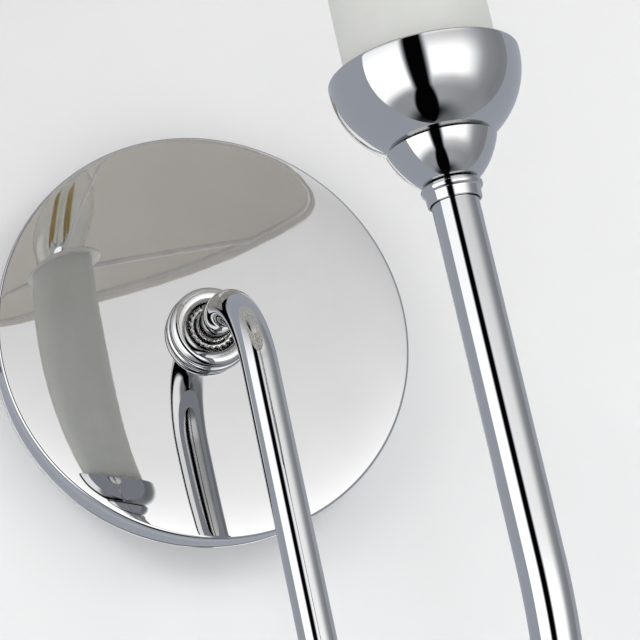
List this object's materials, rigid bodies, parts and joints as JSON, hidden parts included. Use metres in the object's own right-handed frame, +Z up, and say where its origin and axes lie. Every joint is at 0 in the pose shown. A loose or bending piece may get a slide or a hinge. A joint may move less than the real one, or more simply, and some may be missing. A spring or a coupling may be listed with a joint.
{
  "type": "swing arm wall sconce",
  "caption": "Candle wall sconce: round mirror backplate, swivelling hooked tube arm that turns under and rises to a double-bowl cup, candle sleeve and drum shade.",
  "frame": {"origin": "middle of the backplate's back, on the wall surface and on the swivel's axis", "axes": "+X right along the wall, +Y into the wall, +Z up; the arm hangs in front of the wall at -Y"},
  "size_m": [0.223, 0.3238, 0.4347],
  "materials": {
    "polished_chrome": "mirror polished plating",
    "zinc_steel": "zinc plated, dull",
    "green_screw": "green dyed zinc",
    "brass": "raw turned brass",
    "nylon": "natural nylon",
    "phenolic": "moulded phenolic",
    "sleeve_white": "satin off-white",
    "black_insulation": "satin PVC",
    "white_insulation": "satin PVC",
    "green_insulation": "satin PVC",
    "connector_orange": "moulded plastic",
    "solder": "solder",
    "black_glass": "fused black glass",
    "nickel_base": "nickel plated",
    "clear_glass": "clear blown glass",
    "shade_linen": "off-white linen on a stiff lining",
    "white_wire": "white enamelled wire",
    "filament": "phosphor coated"
  },
  "bodies": {
    "wall_plate": {"mounting_strap": "zinc_steel", "box_screw_left": "zinc_steel", "box_screw_right": "zinc_steel", "ground_lug": "zinc_steel", "ground_screw": "green_screw", "backplate": "polished_chrome", "side_screw_left": "polished_chrome", "side_screw_right": "polished_chrome", "stop_pin": "zinc_steel", "hub_base_ring": "polished_chrome", "rear_friction_washer": "nylon", "front_friction_washer": "nylon", "canopy_lead_live": "black_insulation", "canopy_lead_neutral": "white_insulation", "canopy_lead_ground": "green_insulation", "wire_connector_live": "connector_orange", "wire_connector_neutral": "connector_orange"},
    "arm": {"swivel_shaft": "brass", "stop_washer": "zinc_steel", "spring_washer": "zinc_steel", "lock_nut": "brass", "hub_cup": "polished_chrome", "tube_lock_ring": "polished_chrome", "arm_tube": "polished_chrome", "neck_ring": "polished_chrome", "small_bowl": "polished_chrome", "big_bowl": "polished_chrome", "cup_nipple": "brass", "cup_nut": "brass", "socket_nut": "brass", "socket_leg": "zinc_steel", "socket_body": "phenolic", "socket_screw_shell": "brass", "socket_contact": "brass", "candle_sleeve": "sleeve_white", "arm_lead_live": "black_insulation", "arm_lead_neutral": "white_insulation", "arm_lead_ground": "green_insulation"},
    "bulb_carriage": {"bulb_contact": "solder", "bulb_insulator": "black_glass"},
    "bulb": {"bulb_screw_base": "nickel_base", "bulb_glass": "clear_glass", "bulb_stem": "clear_glass", "bulb_filament_1": "filament", "bulb_filament_2": "filament", "bulb_filament_3": "filament", "bulb_filament_4": "filament"},
    "shade": {"shade_cover": "shade_linen", "shade_top_ring": "white_wire", "shade_fitter": "white_wire"}
  },
  "joints": [
    {"name": "arm_swing", "type": "hinge", "parent": "wall_plate", "child": "arm", "pos_m": [0, 0, 0], "axis": [0, -1, 0], "range_deg": [-90, 90]},
    {"name": "shade_turn", "type": "hinge", "parent": "arm", "child": "shade", "pos_m": [0, -0.199, 0.088], "axis": [0, 0, 1], "continuous": true},
    {"name": "bulb_lift", "type": "slide", "parent": "arm", "child": "bulb_carriage", "axis": [0, 0, 1], "range_m": [0, 0.0146]},
    {"name": "bulb_turn", "type": "hinge", "parent": "bulb_carriage", "child": "bulb", "pos_m": [0, -0.199, 0.07], "axis": [0, 0, 1], "range_deg": [0, 1440]}
  ],
  "couplings": [
    {"joint": "bulb_lift", "follows": "bulb_turn", "m_per_rad": 0.0005775}
  ]
}
